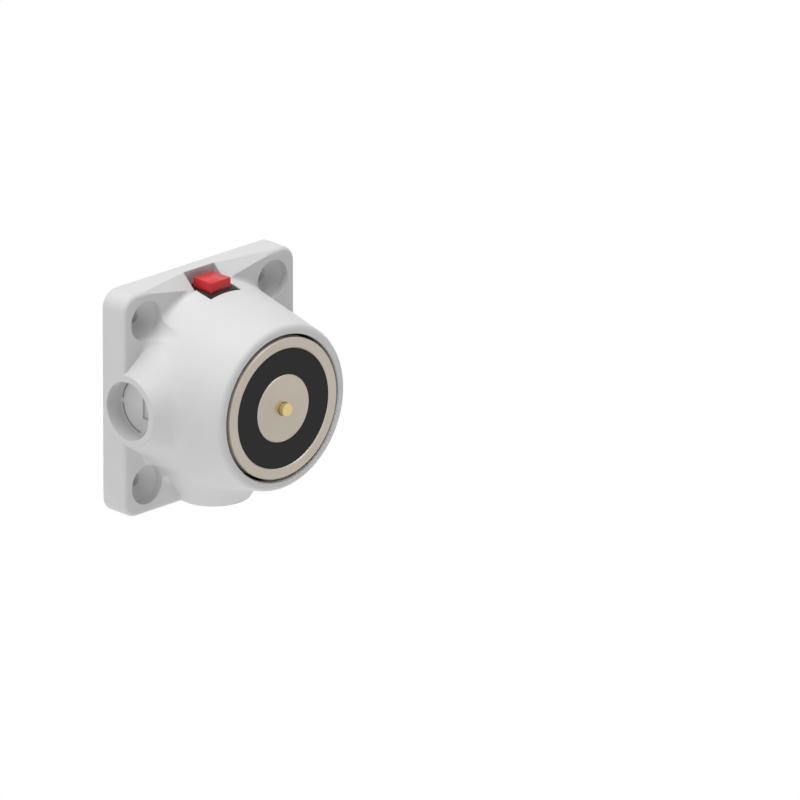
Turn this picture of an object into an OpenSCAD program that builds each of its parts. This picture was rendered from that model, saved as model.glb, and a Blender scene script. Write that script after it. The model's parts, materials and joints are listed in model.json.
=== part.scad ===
// Wall unit of an electromagnetic door holder. A moulded housing slips over a pot magnet, which
// stands on a steel wall plate. The release button is on top and cables come in at the sides.
// Lengths are in millimetres. Every piece is drawn lying on the wall, with x to the right,
// y up and z out of the wall, and is then stood up, so that the front looks along -Y.

/* [Base] */
// Width and height of the square base
base_size = 80; // [78:0.5:90]
// How far the base stands out from the wall
base_depth = 10.4; // [9.6:0.1:12]
// Radius of the base's four corners
base_corner_r = 6; // [4:0.5:8]
// Rounding of the base's front edge
base_edge_r = 1.6; // [0.6:0.1:2]
// Thickness of the moulded walls
wall = 2.5; // [1.8:0.1:3]

/* [Drum] */
// Distance from the wall to the housing's rim
rim_depth = 46.3; // [44:0.1:50]
// How far the screw pockets cut into the foot of the drum
pocket_bite = 1.28; // [0.6:0.02:1.8]
// Width of the rim round the magnet, before its edge is rounded
rim_width = 3.1; // [2.8:0.1:4]
// Rounding of the rim's outer edge
rim_edge_r = 2.2; // [1:0.1:2.4]
// Fillet between the drum and the base
foot_fillet_r = 2; // [0.5:0.1:2.5]
// Thickness of the lip round the magnet, along the drum's axis
lip_depth = 3.5; // [2.5:0.1:5]
// Gap between the magnet and the lip
lip_gap = 1.1; // [0.6:0.1:1.6]
// Chamfer on the lip's inner edge
lip_chamfer = 0.4; // [0.2:0.05:0.6]

/* [Wall screws] */
// Distance from the edges of the base to the wall screws
screw_inset = 10.5; // [10:0.5:11.5]
// Radius of each screw pocket at the base's front
pocket_r = 7; // [6:0.1:7.4]
// Depth of the pocket's straight wall
pocket_straight = 2.7; // [1.5:0.1:3.2]
// Depth of the pocket down to the small end of its conical seat
pocket_depth = 6.5; // [5.6:0.1:7]
// Slope of the scallop that the pocket leaves in the drum, in degrees
pocket_draft = 4; // [1:0.5:6]
// Wall round each pocket, inside the housing
pocket_wall = 2; // [1.2:0.1:2.4]
// Radius of the screw holes
screw_hole_r = 2.25; // [1.8:0.05:2.6]

/* [Cable entries] */
// Radius of the entries, for a 20 mm conduit
entry_r = 10.3; // [8:0.1:10.3]
// Distance from the wall to the axis of the entries
entry_axis = 12.1; // [12:0.1:13]
// Outer radius of the entry's boss at the side of the base
entry_boss_r = 12.65; // [12:0.05:13.5]
// Depth of an entry, down to its break-out disc
entry_length = 6.7; // [6:0.1:7.2]
// Radius of the curve along which the boss flares into the drum
flare_curve_r = 100; // [60:5:150]
// Depth to which that curve sinks into the drum where it ends
flare_sink = 0.65; // [0.6:0.05:1]
// Thickness of the break-out discs
disc_thickness = 2; // [1.7:0.1:2.1]
// Width of the curved slots round a disc
slot_width = 0.5; // [0.3:0.05:0.8]
// Width of the ledge between those slots and the entry's wall
slot_ledge = 0.3; // [0.1:0.05:0.6]
// Width of the four webs that hold a disc
web_width = 2.1; // [1.5:0.1:3]
// Depth to which the half of a disc that is nearer the wall is sunk
step_depth = 0.4; // [0.2:0.05:0.6]
// Distance from the entry's axis to that step
step_offset = 0.3; // [0:0.1:1]
// Depth of the notch for a screwdriver in the disc
notch_depth = 1.25; // [0.8:0.05:1.4]
// Length of that notch
notch_length = 8.4; // [6:0.2:10]
// Width of that notch
notch_width = 4; // [3:0.2:6]

/* [Wall plate] */
// Thickness of the steel wall plate
plate_thickness = 2; // [1.5:0.1:2.5]
// Clearance between the wall plate and the housing
plate_gap = 0.3; // [0.2:0.05:0.5]
// Radius of the hole through which the magnet's screw is tightened
access_r = 7.5; // [7:0.1:9]
// Distance from the base's edges to the screws that hold the wall plate
cover_screw_inset = 8; // [7.5:0.1:9]
// Radius of their thread
cover_screw_r = 1.45; // [1.2:0.05:1.6]
// Radius of their countersunk heads
cover_head_r = 2.7; // [2.3:0.05:3]
// Length of those screws
cover_screw_length = 7; // [5:0.1:7.2]
// Length of the cross recess in their heads
cross_length = 2.6; // [2:0.1:3]
// Width of that recess
cross_width = 0.6; // [0.4:0.05:0.8]
// Depth of that recess
cross_depth = 0.45; // [0.3:0.05:0.6]
// Radius of the posts that they are driven into
post_r = 3.2; // [2.6:0.1:3.4]
// How much deeper the holes in those posts are than the screws
post_spare = 0.4; // [0.2:0.1:0.6]

/* [Magnet] */
// Outer radius of the pot
magnet_r = 25; // [23.5:0.1:26.5]
// How far the magnet's face stands out of the housing's rim
face_stand = 0.45; // [0:0.05:1]
// Length of the magnet along its axis
magnet_length = 28.4; // [26:0.1:29]
// Thickness of the pot's wall
pot_wall = 3.8; // [3:0.1:5]
// Thickness of the pot's floor
pot_floor = 5; // [4:0.1:6]
// Radius of the core
core_r = 12; // [11:0.1:13]
// Radius of the core's spigot in the pot's floor
spigot_r = 8; // [7:0.1:9]
// Chamfer on the edges of the steel face
face_chamfer = 0.35; // [0.2:0.05:0.6]
// Depth of the black resin between pot and core
resin_depth = 3.4; // [2:0.1:5]
// How far the resin lies behind the steel face
resin_recess = 0.1; // [0.05:0.05:0.4]
// Wall of the coil's bobbin
bobbin_wall = 1; // [0.8:0.1:1.4]
// Clearance round the bobbin
bobbin_gap = 0.2; // [0.1:0.05:0.4]
// Gap between the outer turns and the edge of the bobbin's flanges
winding_margin = 0.6; // [0.3:0.1:1.2]
// Distance from the pot's bore to the holes for the coil's leads
lead_hole_inset = 4.7; // [3.5:0.1:6]
// Distance between those two holes
lead_hole_spacing = 6; // [5:0.1:8]
// Radius of those holes
lead_hole_r = 1.1; // [0.9:0.05:1.3]

/* [Magnet bracket] */
// Thickness of the bent steel bracket
bracket_thickness = 1.5; // [1:0.1:2]
// Height of the bracket's strip
bracket_width = 20; // [18:0.5:22]
// Half the distance across the bracket's legs
bracket_leg_x = 14; // [13:0.5:15]
// Half the distance across the bracket's feet
bracket_foot_x = 22; // [21:0.5:23]
// Inner radius of the bends
bend_r = 1.5; // [0.5:0.1:1.8]
// Distance across between the rivets
rivet_x = 37; // [36.5:0.5:38]
// Distance upwards between the rivets
rivet_y = 12; // [10:0.5:12]
// Radius of the rivets
rivet_r = 1.5; // [1.2:0.05:1.7]
// Radius of the rivets' heads
rivet_head_r = 2.5; // [2.1:0.05:2.7]
// Height of the rivets' heads
rivet_head_h = 1.2; // [0.8:0.1:1.5]

/* [Magnet screw] */
// Radius of the screw's shank
magnet_screw_r = 4; // [3:0.1:4]
// How far the screw reaches into the core
magnet_screw_reach = 9; // [7:0.1:11]
// Radius of the screw's head
magnet_head_r = 6.5; // [6:0.1:6.8]
// Height of the screw's head
magnet_head_h = 5; // [4:0.1:6]
// Width of the hexagon in the head, across flats
magnet_head_hex = 6; // [5:0.5:6]
// Depth of that hexagon
hex_depth = 3; // [2:0.1:3.5]
// Outer radius of the lock washer
washer_r = 7; // [6.6:0.1:7.5]
// Thickness of the lock washer
washer_thickness = 1.2; // [0.8:0.1:1.6]
// Gap in the lock washer's ring
washer_split = 0.8; // [0.5:0.1:1.2]

/* [Ejector pin] */
// Radius of the pin
pin_r = 2.3; // [2:0.05:2.6]
// How far the pin stands out of the face, which is also its travel
pin_travel = 2; // [1.5:0.05:3]
// Chamfer on the pin's tip
pin_chamfer = 0.15; // [0.1:0.05:0.5]
// Clearance round the pin
pin_fit = 0.08; // [0.03:0.01:0.1]
// Length of the core's hole that guides the pin
pin_guide = 4; // [3:0.1:5]
// Radius of the pin's collar
pin_collar_r = 3.7; // [3.4:0.05:3.7]
// Length of the pin's collar
pin_collar_length = 2; // [1.5:0.1:2.5]
// Radius of the tail inside the spring
pin_tail_r = 2; // [1.5:0.1:2.1]
// Length of that tail
pin_tail_length = 3.5; // [2:0.1:4]
// Radius of the mouth where the pin comes out
pin_mouth_r = 2.5; // [2.45:0.05:3]
// Radius of the bore for the spring and the magnet's screw
spring_bore_r = 4.05; // [4.05:0.05:4.4]
// Radius of the pin spring's wire
pin_wire_r = 0.4; // [0.3:0.05:0.45]
// Turns of the pin's spring
pin_turns = 8; // [6:1:9]

/* [Release button] */
// Width of the well for the button
well_width = 14.2; // [13.8:0.1:14.4]
// Distance from the magnet's axis to the outer ends of the ramps beside the well
ramp_reach = 34; // [32:0.5:35]
// Height above the magnet's axis at which the ramps run out beside the well
ramp_low = 35.2; // [34.8:0.1:36]
// How far they still lie behind the base's front there
ramp_drop = 0.3; // [0.1:0.1:0.6]
// Distance from the wall to the rear of the well
well_rear = 5.05; // [4.7:0.05:5.3]
// Distance from the wall to the front of the well
well_front = 18.5; // [18.2:0.1:19]
// Height of the well's lower end above the magnet's axis
well_floor = 27; // [26.6:0.1:27.5]
// Wall round the well, inside the housing
well_wall = 1.6; // [1.2:0.1:2]
// Width of the red cap
cap_width = 9.1; // [8:0.1:9.4]
// Depth of the red cap, away from the wall
cap_depth = 8.9; // [8:0.1:9]
// Distance from the wall to the middle of the cap
cap_axis = 11.6; // [11.4:0.1:11.9]
// Height of the cap's top above the magnet's axis
cap_top = 38.2; // [37.4:0.1:39]
// Travel of the cap
cap_travel = 1.5; // [0.8:0.1:1.8]
// Rounding of the cap's upright edges
cap_edge_r = 0.2; // [0.15:0.05:0.8]
// Clearance round the cap
cap_gap = 0.25; // [0.2:0.05:0.35]
// Height of the bezel's top above the magnet's axis
bezel_top = 34.9; // [34.6:0.05:35.2]
// Height of the bezel's front corners above the magnet's axis
bezel_corner = 33.75; // [33.2:0.05:33.8]
// Width of the flat rim round the cap
bezel_flat = 0.25; // [0.1:0.05:0.5]
// Clearance between the bezel and its well
bezel_gap = 0.08; // [0.05:0.01:0.15]

/* [Switch] */
// Height of the switch body
switch_height = 8; // [7.4:0.1:8.6]
// Width of the switch body
switch_width = 17; // [16.6:0.1:18]
// Gap between the switch and the wall plate
switch_rear_gap = 2; // [1:0.1:2.5]
// Gap between the switch and the magnet
switch_gap = 0.4; // [0.3:0.1:0.8]
// Thickness of the switch body's top and floor
switch_wall = 1.5; // [1.2:0.1:1.6]
// Radius of the cap's stem
stem_r = 1.6; // [1.3:0.05:1.7]
// Clearance round the stem
stem_gap = 0.3; // [0.2:0.05:0.4]
// Radius of the stem's collar
stem_collar_r = 2.3; // [2.2:0.05:2.5]
// Length of the stem's collar
stem_collar_length = 0.8; // [0.6:0.1:1]
// Radius of the chamber for the switch spring
chamber_r = 2.8; // [2.7:0.05:3.2]
// Radius of the switch spring's wire
switch_wire_r = 0.22; // [0.15:0.01:0.25]
// Turns of the switch spring
switch_turns = 4; // [3:1:4]
// Width of the switch's two terminals
tab_width = 2.4; // [2:0.1:2.8]
// Thickness of those terminals
tab_thickness = 0.6; // [0.4:0.1:0.8]
// Length of those terminals
tab_length = 3; // [2.5:0.1:3.5]
// Distance between those terminals
tab_spacing = 6; // [5:0.1:8]

/* [Circuit board] */
// Gap between the board and the walls round the screw pockets
board_side_gap = 1.5; // [1.2:0.1:2.5]
// Gap between the magnet's bracket and the board's upper edge
board_drop = 1; // [0.5:0.1:2]
// Gap between the lower cable entry and the board's lower edge
board_gap = 0.3; // [0.2:0.1:1]
// Thickness of the board
board_thickness = 1.6; // [1:0.1:2]
// Height of the spacers under the board
spacer_height = 2; // [1.5:0.1:3]
// Thickness of the spacers' closed lower ends
spacer_floor = 0.4; // [0.3:0.1:0.6]
// Radius of the spacers
spacer_r = 2.1; // [1.8:0.1:2.4]
// Distance from the board's edges to its screws
board_inset = 2.5; // [2.4:0.1:3]
// Radius of the board's screws
board_screw_r = 1.1; // [0.9:0.05:1.2]
// Radius of those screws' heads
board_head_r = 1.95; // [1.7:0.05:2.1]
// Height of those screws' heads
board_head_h = 1.3; // [1:0.1:1.6]
// Width of the slots in the heads of the small screws
slot_cut = 0.55; // [0.4:0.05:0.7]
// Depth of those slots
slot_depth = 0.6; // [0.4:0.05:0.8]
// Distance between the terminals on the board
pole_pitch = 5.08; // [4.8:0.01:5.1]
// Number of terminals
poles = 4; // [2:1:4]
// Gap between the terminal block and the magnet
block_gap = 2.75; // [1:0.05:4]
// Width of the terminal block along the y axis
block_width = 8; // [7.6:0.1:8.1]
// Distance from the board's lower edge to the terminal block
block_inset = 1; // [0.6:0.1:1.6]
// Distance from the block's lower side to the axes of its screws
clamp_inset = 2.9; // [2.6:0.1:3.2]
// How far the tops of those screws lie behind the block's front
clamp_sink = 0.6; // [0.4:0.1:1]
// Radius of the terminals' screws
clamp_screw_r = 1.7; // [1.4:0.05:1.8]
// How far those screws reach into the openings for the wires
clamp_reach = 1.2; // [0.4:0.1:2]
// Width of the openings for the wires
clamp_opening = 3.2; // [2.6:0.1:3.4]
// Height of those openings above the board
clamp_rise = 1.4; // [1:0.1:1.8]
// Wall between those openings and the block's upper side
block_wall = 1.5; // [1:0.1:2]
// Radius of the diode that protects the coil
diode_r = 1.35; // [1:0.05:1.6]
// Length of the diode
diode_length = 5.2; // [4:0.1:6]
// Radius of the diode's wires
diode_wire_r = 0.35; // [0.25:0.05:0.4]
// Distance between the ends of the diode's wires
diode_pitch = 10; // [8.5:0.5:10]
// Distance from the board's upper edge to the diode's axis
diode_inset = 5.2; // [5.1:0.1:7]
// Gap between the diode's wire and the coil's lead beside it
diode_gap = 1; // [0.4:0.05:1.5]
// Radius of the insulated leads
lead_r = 0.6; // [0.4:0.05:0.7]

/* [Hidden] */

// Curves of whole rings, and of the small screws and wires
$fn = 96;
small_fn = 32;
// Overlap of a cutting shape with what it cuts through
cut = 1;
// Gap between the two faces of a stop, and the fit of screws and rivets in their holes
stop_gap = 0.05;
screw_fit = 0.05;
// Depth to which the fillet at the drum's foot runs on into the base
fillet_sink = 0.005;
// Depth below the base's front at which a pocket starts to widen into its scallop
pocket_break = 0.3;

half = base_size / 2;
screw_spacing = base_size - 2 * screw_inset;
// Radius of the drum where it leaves the base, and at the rim before its edge is rounded
drum_foot_r = screw_spacing / sqrt(2) - pocket_r + pocket_bite;
drum_rim_r = magnet_r + lip_gap + rim_width;
// Taper of the drum, as an angle and as the radius at a distance from the wall
drum_taper = atan((drum_foot_r - drum_rim_r) / (rim_depth - base_depth));
function drum_r(z) = drum_rim_r + (rim_depth - z) * tan(drum_taper);
// Distance from a rounded or filleted corner of the drum to where the rounding starts
function round_reach(r) = r * tan((90 - drum_taper) / 2);
pocket_places = [for (x = [-1, 1], y = [-1, 1]) [x, y] * screw_spacing / 2];
// The posts stand midway between the screw pockets and the bosses of the entries
post_x = half - cover_screw_inset;
post_y = (entry_boss_r + screw_spacing / 2 - pocket_r) / 2;
post_places = [for (x = [-1, 1], y = [-1, 1]) [x * post_x, y * post_y]];
rivet_places = [for (x = [-1, 1], y = [-1, 1]) [x * rivet_x, y * rivet_y] / 2];

// The boss's curve touches a circle round the drum's axis, which lies just inside the drum. This
// gives its slope at the side of the base, and the length after which it ends.
flare_end_r = drum_r(entry_axis) - flare_sink;
flare_pull = (flare_end_r * (flare_end_r + 2 * flare_curve_r) - half * half
    - entry_boss_r * entry_boss_r) / (2 * flare_curve_r);
flare_angle = asin(flare_pull / norm([half, entry_boss_r])) - atan(entry_boss_r / half);
flare_length = half - (half + flare_curve_r * sin(flare_angle)) * flare_end_r
    / (flare_end_r + flare_curve_r);
slot_r = entry_r - slot_ledge;
collar_length = entry_length + disc_thickness;

face_depth = rim_depth + face_stand;
pot_bore_r = magnet_r - pot_wall;
lead_hole_y = pot_bore_r - lead_hole_inset;
magnet_back = face_depth - magnet_length;
coil_back = magnet_back + pot_floor;
resin_back = face_depth - resin_depth;
guide_back = face_depth - pin_guide;
screw_tip = magnet_back + magnet_screw_reach;
pin_collar_front = guide_back - stop_gap;
pin_collar_back = pin_collar_front - pin_collar_length;

switch_top = well_floor;
switch_bottom = switch_top - switch_height;
switch_front = magnet_back - switch_gap;
stem_collar_top = switch_top - switch_wall - stop_gap;
stem_bottom = stem_collar_top - stem_collar_length;
cap_bottom = switch_top + cap_travel + stem_collar_length;

board_back = plate_thickness + spacer_height;
board_front = board_back + board_thickness;
board_width = screw_spacing - 2 * (pocket_r + pocket_wall + board_side_gap);
board_high = -bracket_width / 2 - board_drop;
board_low = collar_length + board_gap - half;
board_screw_places = [for (x = [-1, 1], y = [board_high - board_inset, board_low + board_inset])
    [x * (board_width / 2 - board_inset), y]];
block_length = poles * pole_pitch;
block_low = board_low + block_inset;
block_height = magnet_back - block_gap - board_front;
clamp_screw_length = block_height - clamp_sink - clamp_rise - clamp_opening + clamp_reach;
clamp_places = [for (i = [0 : poles - 1]) (i - (poles - 1) / 2) * pole_pitch];
clamp_screw_y = block_low + clamp_inset;
coil_lead_x = lead_hole_spacing / 2 - 1;
diode_x = coil_lead_x + lead_r + diode_gap + diode_wire_r + diode_pitch / 2;
diode_place = [diode_x, board_high - diode_inset];

// Routes of the leads, as points that a smooth curve passes through
coil_lead_route = [
    [lead_hole_spacing / 2, -lead_hole_y, coil_back - stop_gap],
    [lead_hole_spacing / 2, -lead_hole_y, magnet_back - 1],
    [coil_lead_x, -lead_hole_y, 13],
    [coil_lead_x, -lead_hole_y, 9],
    [coil_lead_x, -lead_hole_y, board_front]];
switch_lead_route = [
    [tab_spacing / 2, switch_bottom - tab_length, cap_axis],
    [tab_spacing / 2, switch_bottom - tab_length - 0.8, cap_axis],
    [tab_spacing / 2, switch_bottom - tab_length - 1.6, cap_axis],
    [bracket_leg_x - 5, bracket_width / 2 + 2.5, 10],
    [bracket_leg_x + 2.7, bracket_width / 2 - 1, 8.5],
    [bracket_leg_x + 3.7, 0, 8],
    [bracket_leg_x + 2.7, 1 - bracket_width / 2, 8.5],
    [13, board_high - 4, 9.5],
    [12.5, board_high - 9.3, board_front + 2.4],
    [12.5, board_high - 9.3, board_front + 1.2],
    [12.5, board_high - 9.3, board_front]];

// Stands a piece up from its place on the wall
module stood() {
    rotate([90, 0, 0]) children();
}

// Half space whose flat side passes through a point and faces against the normal
module half_space(point, normal) {
    reach = 3 * base_size;
    turn = [0, acos(normal.z / norm(normal)), atan2(normal.y, normal.x)];
    translate(point) rotate(turn) translate([-reach / 2, -reach / 2, 0]) cube(reach);
}

// Quarter of a disc in the corner of a square, left over when the corner is rounded
module corner_scrap(r) {
    difference() {
        square(r + cut);
        circle(r);
    }
}

// Square with rounded corners, about its centre
module rounded_square(size, r) {
    square([size, size - 2 * r], center = true);
    square([size - 2 * r, size], center = true);
    for (x = [-1, 1], y = [-1, 1]) translate([x, y] * (size / 2 - r)) circle(r);
}

// Base block: two crossing bars and a turned pillar at each corner, all with a round front edge
module base_block() {
    module section(width) {
        difference() {
            translate([-width / 2, 0]) square([width, base_depth]);
            for (side = [0, 1]) mirror([side, 0])
                translate([width / 2 - base_edge_r, base_depth - base_edge_r]) corner_scrap(base_edge_r);
        }
    }
    length = base_size - 2 * base_corner_r;
    for (turn = [0, 90]) rotate([0, 0, turn]) rotate([90, 0, 0])
        linear_extrude(length, center = true) section(base_size);
    for (x = [-1, 1], y = [-1, 1]) translate([x, y, 0] * (half - base_corner_r))
        rotate_extrude() intersection() {
            section(2 * base_corner_r);
            square([base_corner_r, base_depth]);
        }
}

// Solid form of the drum, with its rounded rim and the fillet at its foot
module drum_block() {
    rim_reach = round_reach(rim_edge_r);
    foot_reach = round_reach(foot_fillet_r);
    rotate_extrude() difference() {
        union() {
            polygon([[0, 0], [drum_r(0), 0], [drum_rim_r, rim_depth], [0, rim_depth]]);
            difference() {
                translate([drum_foot_r - cut, base_depth - cut])
                    square([foot_reach + cut, foot_reach * cos(drum_taper) + cut]);
                translate([drum_foot_r + foot_reach, base_depth + foot_fillet_r - fillet_sink])
                    circle(foot_fillet_r);
            }
        }
        difference() {
            translate([drum_rim_r - rim_reach, rim_depth - rim_reach * cos(drum_taper)])
                square(2 * rim_edge_r);
            translate([drum_rim_r - rim_reach, rim_depth - rim_edge_r]) circle(rim_edge_r);
        }
    }
}

// Turns a form that is drawn along z from a side's surface inwards to the entry on that side:
// 0 is the left side, 90 the lower one and 180 the right one
module at_entry(side) {
    rotate([0, 0, side]) translate([-half, 0, entry_axis]) rotate([0, 90, 0]) children();
}

// Flare of an entry's boss. Its outline is a curve that turns outwards from the side of the base,
// and inset moves that curve inwards by the thickness of a wall.
module entry_flare(inset, start, length) {
    centre = [entry_boss_r + flare_curve_r * cos(flare_angle), -flare_curve_r * sin(flare_angle)];
    rotate_extrude() difference() {
        translate([0, start]) square([centre.x, length - start]);
        translate(centre) circle(flare_curve_r + inset);
    }
}

// Outside form of the housing as one block
module outer_form() {
    difference() {
        union() {
            base_block();
            drum_block();
            intersection() {
                for (side = [0, 90, 180]) at_entry(side) entry_flare(0, 0, flare_length);
                translate([-half, -half, 0]) cube([base_size, base_size, rim_depth]);
            }
        }
        ramps(0);
    }
}

// Ramps on the top of the base, one on each side of the well. Each is the space beyond a plane
// that starts at the base's upper corner and is deepest beside the well.
module ramps(inset) {
    corner = [ramp_reach, half, base_depth];
    deep_end = [well_width / 2, half, well_rear];
    low_end = [well_width / 2, ramp_low, base_depth - ramp_drop];
    normal = cross(deep_end - corner, low_end - corner);
    unit = normal / norm(normal) * sign(normal.z);
    for (side = [0, 1]) mirror([side, 0, 0]) intersection() {
        half_space(corner - unit * inset, unit);
        translate([0, half - base_depth, 0]) cube([half, base_depth + cut, base_depth + cut]);
    }
}

// Hollow inside the housing
module inner_form() {
    inset = wall / cos(drum_taper);
    cavity_top = rim_depth - lip_depth;
    translate([0, 0, -cut]) linear_extrude(base_depth - wall + cut)
        rounded_square(base_size - 2 * wall, base_corner_r - wall);
    rotate_extrude() polygon([
        [0, 0], [drum_foot_r - inset, 0], [drum_foot_r - inset, base_depth - wall],
        [drum_r(cavity_top) - inset, cavity_top], [0, cavity_top]]);
    cylinder(h = rim_depth + cut, r = magnet_r + lip_gap);
    translate([0, 0, rim_depth - lip_chamfer]) cylinder(h = lip_chamfer + cut,
        r1 = magnet_r + lip_gap, r2 = magnet_r + lip_gap + lip_chamfer + cut);
    for (side = [0, 90, 180]) at_entry(side) entry_flare(wall, 2 * wall, flare_length);
}

// Everything inside the housing that is left standing: walls of the pockets, collars of the
// entries, the tube of the button's well, screw posts and the backs of the ramps
module inner_walls() {
    for (place = pocket_places) translate([place.x, place.y, plate_thickness])
        cylinder(h = base_depth - plate_thickness, r = pocket_r + pocket_wall);
    for (place = post_places) translate([place.x, place.y, plate_thickness])
        cylinder(h = base_depth - plate_thickness, r = post_r);
    for (side = [0, 90, 180]) at_entry(side) cylinder(h = collar_length, r = entry_boss_r);
    translate([-well_width / 2 - well_wall, well_floor, well_rear - well_wall])
        cube([well_width + 2 * well_wall, half - well_floor, well_front - well_rear + 2 * well_wall]);
    intersection() {
        base_block();
        ramps(wall);
    }
}

// Housing: one moulding of white plastic, open at the back
module housing() {
    color([0.93, 0.93, 0.92]) stood() difference() {
        outer_form();
        difference() {
            inner_form();
            inner_walls();
        }
        for (place = pocket_places) translate([place.x, place.y, 0]) screw_pocket();
        for (place = post_places) translate([place.x, place.y, 0])
            cylinder(h = cover_screw_length + post_spare, r = cover_screw_r + screw_fit, $fn = small_fn);
        translate([-well_width / 2, well_floor - cut, well_rear])
            cube([well_width, half, well_front - well_rear]);
        for (side = [0, 90, 180]) at_entry(side) entry_hollow();
    }
}

// Hollow of an entry, with the sunk half of its disc, the notch in the other half and the slots
module entry_hollow() {
    translate([0, 0, -cut]) cylinder(h = entry_length + cut, r = entry_r);
    translate([0, 0, entry_length / 2]) linear_extrude(entry_length / 2 + step_depth) intersection() {
        circle(slot_r - slot_width / 2);
        translate([-step_offset, -entry_r]) square(2 * entry_r);
    }
    translate([-step_offset - notch_width, -notch_length / 2, entry_length / 2])
        cube([notch_width + step_offset, notch_length, entry_length / 2 + notch_depth]);
    translate([0, 0, entry_length / 2]) linear_extrude(entry_length) difference() {
        circle(slot_r);
        circle(slot_r - slot_width);
        for (turn = [0, 90]) rotate(turn) square([2 * entry_r, web_width], center = true);
    }
}

// Screw pocket: a straight mouth, a conical seat, and a scallop that runs on into the drum
module screw_pocket() {
    seat_top = base_depth - pocket_straight;
    seat_low = base_depth - pocket_depth;
    mouth_low = base_depth - pocket_break;
    scallop = rim_depth - mouth_low;
    cylinder(h = base_depth, r = screw_hole_r, $fn = small_fn);
    translate([0, 0, seat_low]) cylinder(h = seat_top - seat_low, r1 = screw_hole_r, r2 = pocket_r);
    translate([0, 0, seat_top]) cylinder(h = mouth_low - seat_top, r = pocket_r);
    translate([0, 0, mouth_low])
        cylinder(h = scallop, r1 = pocket_r, r2 = pocket_r + scallop * tan(pocket_draft));
}

// Wall plate: galvanised steel, notched where the entries' collars reach down to the wall
module wall_plate() {
    size = base_size - 2 * wall - 2 * plate_gap;
    notch = collar_length - wall;
    color([0.72, 0.73, 0.74]) stood() difference() {
        linear_extrude(plate_thickness) difference() {
            rounded_square(size, base_corner_r - wall - plate_gap);
            for (turn = [0, 90, 180]) rotate(turn) translate([-size / 2 - cut, -entry_r])
                square([notch + cut, 2 * entry_r]);
            circle(access_r);
            for (place = pocket_places) translate(place) circle(screw_hole_r, $fn = small_fn);
        }
        for (place = post_places) translate([place.x, place.y, 0])
            countersink(cover_screw_r + screw_fit, cover_head_r + screw_fit);
        for (place = rivet_places) translate([place.x, place.y, 0])
            countersink(rivet_r + screw_fit, rivet_head_r + screw_fit);
    }
}

// Hole with a countersink that opens towards the wall
module countersink(hole_r, head_r) {
    translate([0, 0, -cut]) cylinder(h = plate_thickness + 2 * cut, r = hole_r, $fn = small_fn);
    translate([0, 0, -0.001]) cylinder(h = head_r - hole_r, r1 = head_r, r2 = hole_r, $fn = small_fn);
}

// Screws that hold the wall plate to the housing, with a cross recess in their heads
module cover_screws() {
    head_depth = cover_head_r - cover_screw_r;
    recess = [cross_length, cross_width, 2 * cross_depth];
    color([0.78, 0.76, 0.66]) stood() for (place = post_places) translate([place.x, place.y, 0])
        difference() {
            union() {
                cylinder(h = cover_screw_length, r = cover_screw_r, $fn = small_fn);
                cylinder(h = head_depth, r1 = cover_head_r, r2 = cover_screw_r, $fn = small_fn);
            }
            for (turn = [0, 90]) rotate([0, 0, turn]) cube(recess, center = true);
        }
}

// Magnet bracket: a steel strip bent into a hat, with two feet on the wall plate
module magnet_bracket() {
    color([0.68, 0.69, 0.70]) stood() difference() {
        translate([0, 0, plate_thickness]) rotate([90, 0, 0])
            linear_extrude(bracket_width, center = true)
                for (side = [0, 1]) mirror([side, 0]) bracket_half();
        translate([0, 0, plate_thickness + bracket_thickness + cut])
            cylinder(h = magnet_back, r = magnet_screw_r + screw_fit, $fn = small_fn);
        for (place = rivet_places) translate([place.x, place.y, 0])
            cylinder(h = plate_thickness + 2 * bracket_thickness, r = rivet_r + screw_fit, $fn = small_fn);
    }
}

// Half of the bracket's bent profile, from the middle of its web to the end of a foot
module bracket_half() {
    rise = magnet_back - plate_thickness;
    outer_r = bend_r + bracket_thickness;
    translate([0, rise - bracket_thickness]) square([bracket_leg_x - outer_r, bracket_thickness]);
    translate([bracket_leg_x - outer_r, rise - outer_r]) intersection() {
        bend(outer_r);
        square(outer_r);
    }
    translate([bracket_leg_x - bracket_thickness, outer_r])
        square([bracket_thickness, rise - 2 * outer_r]);
    translate([bracket_leg_x + bend_r, outer_r]) intersection() {
        bend(outer_r);
        translate([-outer_r, -outer_r]) square(outer_r);
    }
    translate([bracket_leg_x + bend_r, 0])
        square([bracket_foot_x - bracket_leg_x - bend_r, bracket_thickness]);
}

// Full ring from which a bend's quarter is taken
module bend(outer_r) {
    difference() {
        circle(outer_r, $fn = small_fn);
        circle(bend_r, $fn = small_fn);
    }
}

// Rivets of the bracket, with a flat dome in front and a flush tail in the wall plate
module bracket_rivets() {
    seat = plate_thickness + bracket_thickness;
    dome_r = (rivet_head_r * rivet_head_r + rivet_head_h * rivet_head_h) / (2 * rivet_head_h);
    color([0.74, 0.74, 0.73]) stood() for (place = rivet_places) translate([place.x, place.y, 0]) {
        cylinder(h = seat, r = rivet_r, $fn = small_fn);
        cylinder(h = rivet_head_r - rivet_r, r1 = rivet_head_r, r2 = rivet_r, $fn = small_fn);
        translate([0, 0, seat]) intersection() {
            translate([0, 0, rivet_head_h - dome_r]) sphere(dome_r, $fn = 48);
            cylinder(h = rivet_head_h, r = rivet_head_r, $fn = small_fn);
        }
    }
}

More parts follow.
